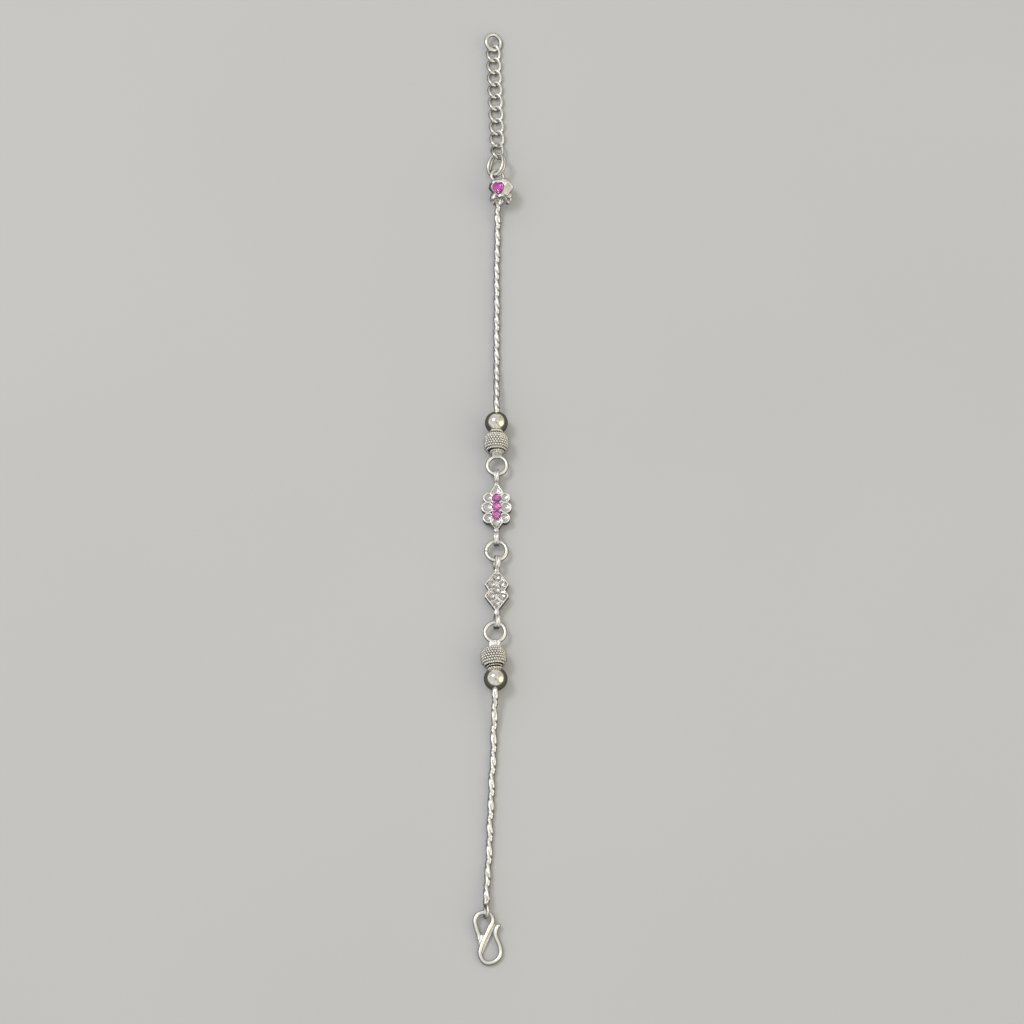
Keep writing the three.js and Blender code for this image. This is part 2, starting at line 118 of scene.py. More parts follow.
def new_group(name, inputs, outputs):
    """A shader node group, with its inputs' usual values."""
    tree = bpy.data.node_groups.new(name, "ShaderNodeTree")
    for label, value in inputs.items():
        socket = tree.interface.new_socket(label, in_out="INPUT", socket_type="NodeSocketFloat")
        socket.default_value = value
    for label in outputs:
        tree.interface.new_socket(label, in_out="OUTPUT", socket_type="NodeSocketFloat")
    return tree, tree.nodes.new("NodeGroupInput").outputs, tree.nodes.new("NodeGroupOutput").inputs


def place_group(tree, group, **values):
    """Puts a group in a material. Its input "Smudge size" is given as smudge_size."""
    node = tree.nodes.new("ShaderNodeGroup")
    node.node_tree = group
    for name, value in values.items():
        node.inputs[name.replace("_", " ").capitalize()].default_value = value
    return node


def in_millimetres(tree):
    coordinates = add_node(tree, "TexCoord").outputs["Object"]
    return add_node(tree, "VectorMath", {0: coordinates, "Scale": 1000}, operation="SCALE").outputs["Vector"]


# ---- finishes ----

SCRATCH_WAYS = ((0.6, (1, 0.07, 1)), (-0.9, (0.06, 1, 0.8)))     # turn, and scale along each axis
SCRATCH_DEPTH = 0.004
SMUDGE_TARNISH, HOLLOW_DULLNESS = 0.14, 0.25
PORE_FINENESS, PORE_SHARE = 6, 0.12


def handling_and_shade_group():
    """Soft smudges and fine scratches in two directions on polished metal, and its hollows, for tarnish and painted
    shade.
    """
    sizes = {"Smudge size": 1.2, "Scratch size": 0.12, "Reach": 0.3}
    tree, given, out = new_group("handling_and_shade", sizes, ["Smudge", "Scratch", "Hollow"])
    place = in_millimetres(tree)
    coarse = math_node(tree, "DIVIDE", 1, given["Smudge size"])
    smudge = add_node(tree, "TexNoise", {"Vector": place, "Scale": coarse, "Detail": 4, "Roughness": 0.6})
    tree.links.new(remap(tree, smudge.outputs[0], 0.35, 0.68), out["Smudge"])
    fine = math_node(tree, "DIVIDE", 1, given["Scratch size"])
    marks = []
    for way, scale in SCRATCH_WAYS:
        laid = add_node(tree, "Mapping", {"Vector": place, "Rotation": (0.2, 0.1, way), "Scale": scale})
        streak = add_node(tree, "TexNoise", {"Vector": laid.outputs[0], "Scale": fine, "Detail": 2})
        marks.append(remap(tree, streak.outputs[0], 0.6, 0.75))
    tree.links.new(math_node(tree, "MAXIMUM", *marks), out["Scratch"])
    reach = math_node(tree, "MULTIPLY", given["Reach"], MM)
    hollow = add_node(tree, "AmbientOcclusion", {"Distance": reach}, samples=6, only_local=True)
    tree.links.new(remap(tree, hollow.outputs["AO"], 0.75, 0.1), out["Hollow"])
    return tree


def casting_group():
    """The faint unevenness of cast and hand-filed silver, as a height in millimetres."""
    tree, given, out = new_group("casting", {"Size": 0.8, "Depth": 0.01}, ["Height"])
    place = in_millimetres(tree)
    rate = math_node(tree, "DIVIDE", 1, given["Size"])
    broad = add_node(tree, "TexNoise", {"Vector": place, "Scale": rate, "Detail": 2}).outputs[0]
    fine_rate = math_node(tree, "MULTIPLY", rate, PORE_FINENESS)
    pores = add_node(tree, "TexNoise", {"Vector": place, "Scale": fine_rate, "Detail": 2}).outputs[0]
    both = math_node(tree, "ADD", broad, math_node(tree, "MULTIPLY", pores, PORE_SHARE))
    tree.links.new(math_node(tree, "MULTIPLY", both, given["Depth"]), out["Height"])
    return tree


HANDLING_AND_SHADE = handling_and_shade_group()
CASTING = casting_group()


def new_material(name, **values):
    """A material with its tree and its shader, whose input "Specular IOR Level" is Specular_IOR_Level here."""
    material = bpy.data.materials.new(name)
    material.use_nodes = True
    tree = material.node_tree
    shader = tree.nodes["Principled BSDF"]
    for label, value in values.items():
        shader.inputs[label.replace("_", " ")].default_value = value
    return material, tree, shader


def silver(name, color, tarnish_and_shade, roughness, rougher, scratch, size, depth, reach=0.3):
    """Polished silver. Smudges change its gloss, scratches and casting its surface, and its hollows darken with
    tarnish and painted shade. size and depth are the casting's, and reach is how far a hollow's walls may stand
    apart."""
    material, tree, shader = new_material(name, Metallic=1)
    wear_and_shade = place_group(tree, HANDLING_AND_SHADE, reach=reach)
    cast = place_group(tree, CASTING, size=size, depth=depth)
    smudged = add_node(tree, "Mix", {"Factor": wear_and_shade.outputs["Smudge"], "A": 0.0, "B": SMUDGE_TARNISH}).outputs[0]
    # darker in the hollows, partly tarnish and partly painted shade, and a little darker in the smudges
    smudge_tarnish_and_shade = math_node(tree, "ADD", wear_and_shade.outputs["Hollow"], smudged, clamp=True)
    tree.links.new(mix_colors(tree, smudge_tarnish_and_shade, color, tarnish_and_shade), shader.inputs["Base Color"])
    gloss = remap(tree, wear_and_shade.outputs["Smudge"], 0, 1, roughness, rougher)
    worn = math_node(tree, "ADD", gloss, math_node(tree, "MULTIPLY", wear_and_shade.outputs["Scratch"], scratch))
    dull = math_node(tree, "MULTIPLY", wear_and_shade.outputs["Hollow"], HOLLOW_DULLNESS)
    tree.links.new(math_node(tree, "ADD", worn, dull), shader.inputs["Roughness"])
    groove = math_node(tree, "MULTIPLY", wear_and_shade.outputs["Scratch"], -SCRATCH_DEPTH * scratch)
    height = math_node(tree, "ADD", cast.outputs["Height"], groove)
    bump = add_node(tree, "Bump", {"Strength": 1.0, "Distance": MM, "Height": height})
    tree.links.new(bump.outputs[0], shader.inputs["Normal"])
    return material


def stone(name, color, ior, facet_shade_color, roughness=0.0):
    """A cut stone: clear glass with faint polishing marks. Its colour is painted light and shade, as if lit inside:
    deeper, up to the shade colour, in facets facing some ways and more towards +X, and pale in its flat table."""
    material, tree, shader = new_material(name, Metallic=0, Transmission_Weight=1, IOR=ior)
    wear_and_shade = place_group(tree, HANDLING_AND_SHADE, smudge_size=0.5, scratch_size=0.06)
    facing = add_node(tree, "NewGeometry").outputs["True Normal"]
    # painted light: each facet's colour is set by the way it faces, as if lit from inside
    painted_facet_light = add_node(tree, "TexNoise", {"Vector": facing, "Scale": 2.2, "Detail": 1}).outputs[0]
    aim = add_node(tree, "SeparateXYZ", {0: facing}).outputs
    # painted shade: facets facing +X are deeper
    facet_light_and_side_shade = math_node(tree, "ADD", painted_facet_light, math_node(tree, "MULTIPLY", aim["X"], 0.12))
    # painted highlight: the flat table is pale
    table = remap(tree, aim["Z"], 0.94, 0.99, 1.0, 0.25)
    # how far each facet goes towards the shade colour, its painted light and shade
    depth = math_node(tree, "MULTIPLY", remap(tree, facet_light_and_side_shade, 0.4, 0.6), table)
    tree.links.new(mix_colors(tree, depth, color, facet_shade_color), shader.inputs["Base Color"])
    dulled = math_node(tree, "MULTIPLY", wear_and_shade.outputs["Smudge"], 0.07)
    tree.links.new(math_node(tree, "ADD", dulled, roughness), shader.inputs["Roughness"])
    bump = add_node(tree, "Bump", {"Strength": 0.3, "Distance": 0.002 * MM, "Height": wear_and_shade.outputs["Scratch"]})
    tree.links.new(bump.outputs[0], shader.inputs["Normal"])
    return material


WIRE_SILVER = silver(
    "wire_silver", color=(0.95, 0.935, 0.89), tarnish_and_shade=(0.42, 0.40, 0.33),
    roughness=0.28, rougher=0.36, scratch=0.06, size=0.9, depth=0.006)
CHAIN_SILVER = silver(
    "chain_silver", color=(0.97, 0.96, 0.93), tarnish_and_shade=(0.26, 0.25, 0.21),
    roughness=0.28, rougher=0.38, scratch=0.06, size=0.5, depth=0.004, reach=0.2)
SETTING_SILVER = silver(
    "setting_silver", color=(0.95, 0.935, 0.905), tarnish_and_shade=(0.66, 0.64, 0.60),
    roughness=0.28, rougher=0.37, scratch=0.06, size=0.7, depth=0.006)
MIRROR_SILVER = silver(
    "mirror_silver", color=(0.91, 0.87, 0.775), tarnish_and_shade=(0.5, 0.46, 0.36),
    roughness=0.03, rougher=0.10, scratch=0.10, size=1.6, depth=0.006)
GRAIN_SILVER = silver(
    "grain_silver", color=(1.0, 0.98, 0.925), tarnish_and_shade=(0.90, 0.88, 0.80),
    roughness=0.30, rougher=0.38, scratch=0.05, size=0.4, depth=0.003, reach=0.2)
# the drum's bed and mouth under the grains: silver darkened as painted shade between the grains, near black in its
# hollows
SHADED_GRAIN_BED = silver(
    "shaded_grain_bed", color=(0.48, 0.46, 0.41), tarnish_and_shade=(0.01, 0.01, 0.008),
    roughness=0.34, rougher=0.44, scratch=0.05, size=0.4, depth=0.003, reach=0.8)
PINK_STONE = stone("pink_stone", color=(1.0, 0.42, 0.93), ior=1.76, facet_shade_color=(0.60, 0.035, 0.42))
CLEAR_STONE = stone(
    "clear_stone", color=(0.98, 0.965, 0.96), ior=1.55, facet_shade_color=(0.74, 0.72, 0.725), roughness=0.11)


# ---- shape helpers: everything in millimetres ----

MERGED = 1e-4                    # points closer than this become one
SPUN_AXES = {"Y": (0, 1, 0), "Z": (0, 0, 1)}
RING_STEPS, RING_SIDES = 56, 14
SOFT_CREASE, BALL_CREASE, FACET_CREASE = 42, 60, 8          # degrees past which an edge stays sharp


def spot(x, y, z=0.0):
    return Matrix.Translation((x, y, z))


def turn(x=0.0, y=0.0, z=0.0):
    """Turns in degrees about X, Y and Z, the last one first."""
    about_x, about_y, about_z = (
        Matrix.Rotation(math.radians(angle), 4, axis) for angle, axis in ((x, "X"), (y, "Y"), (z, "Z")))
    return about_x @ about_y @ about_z


def add_part(whole, part, *moves):
    """Moves one closed shape and adds it to another."""
    for move in moves:
        bmesh.ops.transform(part, matrix=move, verts=part.verts)
    for face in part.faces:
        face.smooth = True
    holder = bpy.data.meshes.new("part")
    part.to_mesh(holder)
    part.free()
    whole.from_mesh(holder)
    bpy.data.meshes.remove(holder)


def in_second_finish(part):
    """Gives a shape the second of its piece's two finishes."""
    for face in part.faces:
        face.material_index = 1
    return part


def finish_piece(name, whole, material, slot_name, *nodes, crease=SOFT_CREASE, under=None):
    """Makes a shape a piece in the frame, which stands for the solids named in nodes. under is the finish of
    the faces that in_second_finish marks."""
    bmesh.ops.transform(whole, matrix=TO_FRAME, verts=whole.verts)
    mesh = bpy.data.meshes.new(name)
    whole.to_mesh(mesh)
    whole.free()
    mesh.materials.append(material)
    if under:
        mesh.materials.append(under)
    mesh.set_sharp_from_angle(angle=math.radians(crease))
    piece = bpy.data.objects.new(name, mesh)
    bpy.context.scene.collection.objects.link(piece)
    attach(piece, "root")
    if nodes:
        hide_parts(*nodes)


def by_hand(part, depth=0.015, size=1.3, seed=0.0):
    """Moves a shape's points by up to about depth, in swells of about size, as hand work leaves them."""
    for vert in part.verts:
        vert.co += noise.noise_vector(vert.co / size + Vector((seed, 0, 0))) * depth
    return part


def wire(route, radius, closed=False, roundness=4):
    """A round wire along a route. roundness adds faces round it."""
    data = bpy.data.curves.new("wire", "CURVE")
    data.dimensions = "3D"
    data.bevel_depth = radius
    data.bevel_resolution = roundness
    data.use_fill_caps = not closed
    line = data.splines.new("POLY")
    line.points.add(len(route) - 1)
    for number, place in enumerate(route):
        line.points[number].co = (*place, 1)
    line.use_cyclic_u = closed
    holder = bpy.data.objects.new("wire", data)
    bpy.context.scene.collection.objects.link(holder)
    made = bpy.data.meshes.new_from_object(holder.evaluated_get(bpy.context.evaluated_depsgraph_get()))
    part = bmesh.new()
    part.from_mesh(made)
    bpy.data.objects.remove(holder)
    bpy.data.curves.remove(data)
    bpy.data.meshes.remove(made)
    bmesh.ops.remove_doubles(part, verts=part.verts, dist=MERGED)
    bmesh.ops.recalc_face_normals(part, faces=part.faces)
    return part


def smooth_route(points, steps=8):
    """A smooth line through points given as (x, y) or (x, y, z)."""
    line = [Vector((*point, 0)[:3]) for point in points]
    ends = [line[0] * 2 - line[1], *line, line[-1] * 2 - line[-2]]
    route = []
    for before, start, end, after in zip(ends, ends[1:], ends[2:], ends[3:]):
        first_handle, second_handle = start + (end - before) / 6, end - (after - start) / 6
        route += geometry.interpolate_bezier(start, first_handle, second_handle, end, steps + 1)[:-1]
    return route + [line[-1]]


def turned(profile, steps=48, axis="Y"):
    """A closed shape spun from (radius, height) pairs."""
    part = bmesh.new()
    line = [(radius, height, 0) if axis == "Y" else (radius, 0, height) for radius, height in profile]
    verts = [part.verts.new(point) for point in line]
    edges = [part.edges.new(pair) for pair in zip(verts, verts[1:])]
    bmesh.ops.spin(
        part, geom=verts + edges, cent=(0, 0, 0), axis=SPUN_AXES[axis], angle=math.tau, steps=steps, use_merge=True)
    bmesh.ops.remove_doubles(part, verts=part.verts, dist=MERGED)
    bmesh.ops.recalc_face_normals(part, faces=part.faces)
    return part


def soften(part, edges, width, segments):
    bmesh.ops.bevel(
        part, geom=edges, offset=width, segments=segments, profile=0.5, affect="EDGES", material=-1)


def only(kind, items):
    """The vertices, edges or faces among a mixed list of them."""
    return [item for item in items if isinstance(item, kind)]


def wire_ring(outer, thick, gap=0.0):
    """A wire ring in the XY plane. gap is the angle, in degrees, left open at +X."""
    part = bmesh.new()
    middle = spot((outer - thick) / 2, 0) @ turn(x=90)
    made = bmesh.ops.create_circle(part, segments=RING_SIDES, radius=thick / 2, matrix=middle)["verts"]
    loop = made + list(dict.fromkeys(edge for vert in made for edge in vert.link_edges))
    centre, axis = (0, 0, 0), SPUN_AXES["Z"]
    if gap:
        first = only(bmesh.types.BMEdge, loop)
        bmesh.ops.rotate(part, verts=made, cent=centre, matrix=turn(z=gap / 2))
        spun = bmesh.ops.spin(
            part, geom=loop, cent=centre, axis=axis, angle=math.radians(360 - gap), steps=RING_STEPS)
        last = only(bmesh.types.BMEdge, spun["geom_last"])
        caps = [bmesh.ops.contextual_create(part, geom=rim)["faces"][0] for rim in (first, last)]
        soften(part, list(dict.fromkeys(edge for cap in caps for edge in cap.edges)), thick * 0.12, 2)
    else:
        bmesh.ops.spin(
            part, geom=loop, cent=centre, axis=axis, angle=math.tau, steps=RING_STEPS, use_merge=True)
        bmesh.ops.remove_doubles(part, verts=part.verts, dist=MERGED)
    bmesh.ops.recalc_face_normals(part, faces=part.faces)
    return part


def bead(radius, around=10, rings=6, stretch=(1, 1, 1)):
    part = bmesh.new()
    shape = Matrix.Diagonal((*stretch, 1))
    bmesh.ops.create_uvsphere(part, u_segments=around, v_segments=rings, radius=radius, matrix=shape)
    return part


def block(width, length, height, edge=0.06):
    part = bmesh.new()
    bmesh.ops.create_cube(part, size=1, matrix=Matrix.Diagonal((width, length, height, 1)))
    soften(part, part.edges[:], edge, 3)
    return part


def raised(corners, low, high):
    """A flat plate from its corners, and the parts of it that were lifted."""
    part = bmesh.new()
    face = part.faces.new([part.verts.new((x, y, low)) for x, y in corners])
    lifted = bmesh.ops.extrude_face_region(part, geom=[face])["geom"]
    bmesh.ops.translate(part, verts=only(bmesh.types.BMVert, lifted), vec=(0, 0, high - low))
    return part, lifted


def slab(corners, low, high, edge=0.05):
    """A flat plate with softened edges."""
    part, _ = raised(corners, low, high)
    bmesh.ops.recalc_face_normals(part, faces=part.faces)
    soften(part, part.edges[:], edge, 2)
    return part


def pear(part, length_factor):
    """Draws a round shape of any radius out into a pear whose point is towards -Y."""
    reach = max(abs(vert.co.y) for vert in part.verts)
    for vert in part.verts:
        along = -vert.co.y / reach
        if along > 0:
            vert.co.x *= max(0, 1 - along) ** 0.5
            vert.co.y *= length_factor
    return part


def brilliant(radius, crown, depth, table=0.56):
    """A round cut stone, as the hull of its table, star, girdle and lower corners. crown and depth are its
    heights above and below the girdle, and table is the flat top's share of the radius."""
    part = bmesh.new()
    levels = (
        # share of the radius, height, corners, turn
        (table, crown, 8, 0),
        (0.8, crown * 0.66, 8, 22.5),
        (1, 0, 16, 11.25),
        (0.99, -0.05, 16, 11.25),
        (0.55, -depth * 0.6, 8, 0),
    )
    for share, height, corners, angle in levels:
        level = spot(0, 0, height) @ turn(z=angle)
        bmesh.ops.create_circle(part, segments=corners, radius=radius * share, matrix=level)
    part.verts.new((0, 0, -depth))
    bmesh.ops.convex_hull(part, input=part.verts)
    bmesh.ops.recalc_face_normals(part, faces=part.faces)
    return part


# ---- extension chain ----

OVAL_STEPS = 44


def oval(width, length, twist=0.0, square=0.0):
    """A closed oval whose plane turns about its long axis, from -twist at one end to +twist at the other."""
    route = []
    for number in range(OVAL_STEPS):
        angle = math.tau * number / OVAL_STEPS
        across = width / 2 * math.cos(angle) * (1 + square * math.sin(angle) ** 2)
        lean = math.radians(twist) * math.sin(angle)
        route.append((across * math.cos(lean), length / 2 * math.sin(angle), across * math.sin(lean)))
    return route


LINKS, LINK_PITCH, LINK_DRIFT, LINK_SEED = 9, 2.99, 0.039, 7.3
LINK_X, LINK_Y, LINK_Z = 0.69, 86.14, 0.82        # the flat link that is nearest the charm

for number in range(1, LINKS + 1):
    if number < LINKS:
        along = LINK_PITCH * (LINKS - 1 - number)
        shape = wire(oval(2.65, 3.8, twist=37, square=0.1), 0.32, closed=True)
        place = spot(LINK_X - along * LINK_DRIFT, LINK_Y + along, LINK_Z)
    else:
        shape = wire(oval(2.38, 4.7, twist=45.5, square=0.35), 0.3, closed=True)
        place = spot(0.74, 82.81, 1.62) @ turn(x=-23.5, y=2.7)
    link = bmesh.new()
    add_part(link, by_hand(shape, seed=number * LINK_SEED), place)
    finish_piece(f"curb_link_{number}", link, WIRE_SILVER, "silver", f"extension_link_{number}")

ring = bmesh.new()
shape = wire(oval(3.36, 3.66), 0.42, closed=True, roundness=6)
add_part(ring, by_hand(shape, 0.03, 0.9), spot(-0.1, 109.76, 1.02) @ turn(x=7.6, y=21.7))
finish_piece("soldered_end_ring", ring, WIRE_SILVER, "silver", "end_ring")

# ---- double ring ----

COIL = {"width": 4.4, "length": 5.1, "spread": -0.64, "turns": 1.83, "start": 250}
COIL_WIRE, COIL_STEPS = 0.32, 80


def coil_route():
    route = []
    for number in range(COIL_STEPS + 1):
        share = number / COIL_STEPS
        angle = math.radians(COIL["start"]) + math.tau * COIL["turns"] * share
        rise = COIL["spread"] * COIL["turns"] * (share - 0.5)
        route.append((COIL["width"] / 2 * math.cos(angle), COIL["length"] / 2 * math.sin(angle), rise))
    return route


coil = bmesh.new()
add_part(coil, by_hand(wire(coil_route(), COIL_WIRE)), spot(0.52, 79.06, 2.09) @ turn(x=1.3, y=-40.9))
finish_piece("double_wound_ring", coil, WIRE_SILVER, "silver", "double_ring")

# ---- fine twisted chains ----

UPPER_ROUTE = (
    (1.15, 71.5, 2.3), (0.92, 69.6, 1.8), (0.82, 65.5, 0.8), (0.78, 61, 0.67), (0.66, 54, 0.67), (0.72, 46, 0.67),
    (0.66, 39, 0.67), (0.7, 32.5, 0.8), (0.7, 26.5, 1.9), (0.7, 22.6, 2.5), (0.7, 20.7, 2.56),
)
LOWER_ROUTE = (
    (0.62, -38.95, 2.56), (0.5, -40.9, 2.45), (0.4, -44.5, 1.55), (0.26, -48.8, 0.78), (0.2, -53, 0.67),
    (-0.1, -57, 0.67), (-0.18, -61, 0.67), (-0.42, -66, 0.67), (-0.5, -70.5, 0.67), (-0.72, -75, 0.67),
    (-0.98, -79, 1.2), (-1.05, -82.4, 1.55),
)
UPPER_HALF_TURN, LOWER_HALF_TURN = 1.99, 2.3
CHAIN_STEP, CHAIN_AROUND = 0.11, 32
CHAIN_WIDE, CHAIN_THICK = 0.63, 0.52              # half sizes
OFF_CENTRE = 0.045                                # how far the broad face stands out
FACE_SQUARE, BACK_SQUARE = 3.4, 2.3               # 2 is an ellipse, and more is squarer
LINK_LENGTH, LINK_CUT, CUT_SLANT, CUT_STEEPNESS = 0.66, 0.04, 0.9, 4.5
PIT_DEPTH, PIT_LENGTH, PIT_WIDTH = 0.1, 0.24, 0.32
TWIST_SWING, TWIST_STRAY, STRAY_LENGTH = 0.62, 0.4, 5


def steps_along(route, pitch):
    """Places and directions at even steps along a route."""
    walked, wanted, found = 0.0, 0.0, []
    for start, end in zip(route, route[1:]):
        span = (end - start).length
        while wanted <= walked + span:
            found.append((start.lerp(end, (wanted - walked) / span), (end - start).normalized()))
            wanted += pitch
        walked += span
    return found


def section_radius(angle, walked, half_turn):
    """The chain's section has one broad smooth face, pitted where it lies uppermost, and a rounder back, cut
    slantwise between the small links."""
    facing, across = math.cos(angle), abs(math.sin(angle))
    square = FACE_SQUARE if facing > 0 else BACK_SQUARE
    outline = ((abs(facing) / CHAIN_THICK) ** square + (across / CHAIN_WIDE) ** square) ** (-1 / square)
    slant = (walked / LINK_LENGTH - CUT_SLANT * across) % 1
    on_back = min(1, max(0.05, 0.6 - 1.2 * facing))
    cut = max(0, 1 - abs(slant - 0.5) * CUT_STEEPNESS) * on_back
    nearest_pit = (walked + half_turn / 2) % (2 * half_turn) - half_turn
    from_pit = math.hypot(nearest_pit / PIT_LENGTH, across / PIT_WIDTH)
    pit = max(0, 1 - from_pit ** 2) if facing > 0 else 0
    return outline - LINK_CUT * cut - PIT_DEPTH * pit


def twisted_chain(name, points, half_turn, node):
    """A chain of tiny links twisted into a rope, drawn along its line one ring of points at a time."""
    chain = bmesh.new()
    around = chain.verts.layers.float.new("around")
    loop = bmesh.ops.create_circle(chain, segments=CHAIN_AROUND, radius=1)["verts"]
    for vert in loop:
        vert[around] = math.atan2(vert.co.y, vert.co.x)
    edges = chain.edges[:]
    ends = [edges]
    for number, (place, along) in enumerate(steps_along(smooth_route(points), CHAIN_STEP)):
        if number:
            grown = bmesh.ops.extrude_edge_only(chain, edges=edges)["geom"]
            loop, edges = only(bmesh.types.BMVert, grown), only(bmesh.types.BMEdge, grown)
        side = along.cross(UP).normalized()
        lift = side.cross(along)
        walked = number * CHAIN_STEP
        phase = math.pi * walked / half_turn
        stray = TWIST_STRAY * noise.noise((walked / STRAY_LENGTH, half_turn, 0))
        twist = phase + TWIST_SWING * math.cos(phase) + stray
        middle = place + (side * math.cos(twist) + lift * math.sin(twist)) * OFF_CENTRE
        for vert in loop:
            angle = vert[around] + twist
            radius = section_radius(vert[around], walked, half_turn)
            vert.co = middle + (side * math.cos(angle) + lift * math.sin(angle)) * radius
    ends.append(edges)
    for rim in ends:
        bmesh.ops.contextual_create(chain, geom=rim)
    bmesh.ops.recalc_face_normals(chain, faces=chain.faces)
    whole = bmesh.new()
    add_part(whole, chain)
    finish_piece(name, whole, CHAIN_SILVER, "silver", node)


twisted_chain("twisted_chain_upper", UPPER_ROUTE, UPPER_HALF_TURN, "chain_upper")
twisted_chain("twisted_chain_lower", LOWER_ROUTE, LOWER_HALF_TURN, "chain_lower")

# ---- beads: built with +Y from the ball's centre towards the jump ring ----

AXIS_HEIGHT = 2.56
BALL_RADIUS, BALL_BORE, BALL_RINGS = 2.37, 0.62, 36
RING_HEIGHT, RING_WIRE = 1.85, 0.81
DRUM_INSIDE = (
    (0, 2.46), (0.7, 2.35), (1.2, 2.12), (1.28, 2.14), (1.22, 2.24), (1.0, 2.46), (0.95, 2.52), (1.35, 2.62),
    (1.42, 2.7), (1.35, 2.78), (1.0, 2.88), (1.0, 4.1), (1.62, 4.1),
)
DRUM_OUTSIDE = (
    (1.66, 3.0), (1.75, 2.95), (1.9, 3.0), (2.12, 3.3), (2.24, 3.85), (2.26, 4.6), (2.24, 5.35), (2.12, 5.9),
    (1.9, 6.2), (1.75, 6.25), (1.66, 6.2), (1.62, 5.2), (0, 5.2),
)
# circles of small beads: place along the axis, radius, bead's radius, count
COLLAR_CIRCLES = ((2.16, 1.26, 0.23, 17), (2.7, 1.42, 0.2, 21))
FLANGE_CIRCLES = ((6.46, 1.28, 0.27, 15), (6.84, 0.9, 0.25, 11))
BARREL_END, BARREL_BULGE, BARREL_SQUARE = 1.9, 0.402, 3.4
GRAIN_ROWS, GRAINS_AROUND, GRAIN_SIZE, GRAIN_LIFT = 7, 27, 0.275, 0.08
GRAIN_START, GRAIN_LENGTH, GRAIN_STRAY = 3.07, 3.06, 0.02
WIDEST_ROW = 2.42                # where the grains have their full size
FLANGE_START, STUB_START, MOUTH_HALF_WIDTH = 6.3, 5.85, 1.72
PLATE_THICKNESS, RIB_RADIUS = 0.8, 0.2
RIBS = (-0.62, 0.05, 0.66)       # shares of the neck's half width


def ball_bead(name, place, node):
    opening = math.asin(BALL_BORE / BALL_RADIUS)
    arc = []
    for number in range(BALL_RINGS + 1):
        angle = opening + (math.pi - 2 * opening) * number / BALL_RINGS
        arc.append((BALL_RADIUS * math.sin(angle), -BALL_RADIUS * math.cos(angle)))
    bore = [(BALL_BORE, arc[-1][1] - 0.1), (BALL_BORE, arc[0][1] + 0.1)]
    ball = bmesh.new()
    add_part(ball, by_hand(turned([*arc, *bore, arc[0]], 72), 0.012, 2.2), place)
    finish_piece(name, ball, MIRROR_SILVER, "mirror_silver", node, crease=BALL_CREASE)


def barrel_radius(along):
    """The drum's outer radius at a share of its length, from 0 to 1."""
    return BARREL_END + BARREL_BULGE * (1 - abs(2 * along - 1) ** BARREL_SQUARE)


def bead_circle(whole, place, along, radius, size, count, second=False):
    """A circle of small soldered beads round the axis."""
    for number in range(count):
        angle = (number + 0.5) / count * math.tau
        small = bead(size, 8, 6, (1, 0.85, 1))
        if second:
            in_second_finish(small)
        centre = spot(radius * math.cos(angle), along, radius * math.sin(angle))
        add_part(whole, small, place @ centre @ turn(y=number * 31))


def grain_bead(name, place, node):
    drum = bmesh.new()
    # the drum's body takes the darker bed finish, painted shade between the grains
    add_part(drum, in_second_finish(turned(DRUM_INSIDE + DRUM_OUTSIDE, 64)), place)
    for circle in COLLAR_CIRCLES:
        bead_circle(drum, place, *circle)
    for row in range(GRAIN_ROWS):
        share = row / (GRAIN_ROWS - 1)
        radius = barrel_radius(share) + GRAIN_LIFT
        size = GRAIN_SIZE * (0.4 + 0.6 * radius / WIDEST_ROW)
        for grain in range(GRAINS_AROUND):
            angle = (grain + 0.5 * (row % 2)) / GRAINS_AROUND * math.tau
            stray = noise.noise_vector((row * 3.1, grain * 1.7, 0.5)) * GRAIN_STRAY
            along = GRAIN_START + GRAIN_LENGTH * share
            centre = Vector((radius * math.cos(angle), along, radius * math.sin(angle))) + stray
            add_part(drum, bead(size * (1 + stray.x * 2), 7, 5), place @ Matrix.Translation(centre))
    finish_piece(name, drum, GRAIN_SILVER, "grained_silver", node, under=SHADED_GRAIN_BED)


def bead_ring(name, place, reach, outer, neck, lean, shift, node):
    """The jump ring with its neck, flange and the stub inside the drum's mouth."""
    whole = bmesh.new()
    drop = AXIS_HEIGHT - RING_HEIGHT
    wire_y = reach - (outer - RING_WIRE) / 2
    stub = STUB_START + MOUTH_HALF_WIDTH * math.sin(math.radians(lean))     # clear of a leaning drum's mouth
    flange = (
        (0, stub), (1.0, stub), (1.0, FLANGE_START), (1.38, 6.33), (1.44, 6.4), (1.38, 6.5), (0.8, 6.82), (0, 6.84))
    add_part(whole, turned(flange, 40), place @ spot(shift, 0))
    for circle in FLANGE_CIRCLES:
        bead_circle(whole, place @ spot(shift, 0), *circle, second=True)
    length = wire_y - stub + 0.1
    plate = by_hand(block(2 * neck, length, PLATE_THICKNESS, 0.16), 0.03, 0.6)
    add_part(whole, plate, place @ spot(shift, stub + length / 2, -drop + 0.08))
    for across in RIBS:
        rib = wire(((0, -length / 2 + 0.1, 0), (0, length / 2 - 0.05, 0)), RIB_RADIUS)
        rib_place = place @ spot(shift + across * neck, stub + length / 2, -drop + 0.4)
        add_part(whole, by_hand(rib, 0.05, 0.5, across), rib_place)
    add_part(whole, by_hand(wire_ring(outer, RING_WIRE)), place @ spot(shift, reach, -drop))
    finish_piece(name, whole, WIRE_SILVER, "silver", node, under=GRAIN_SILVER)


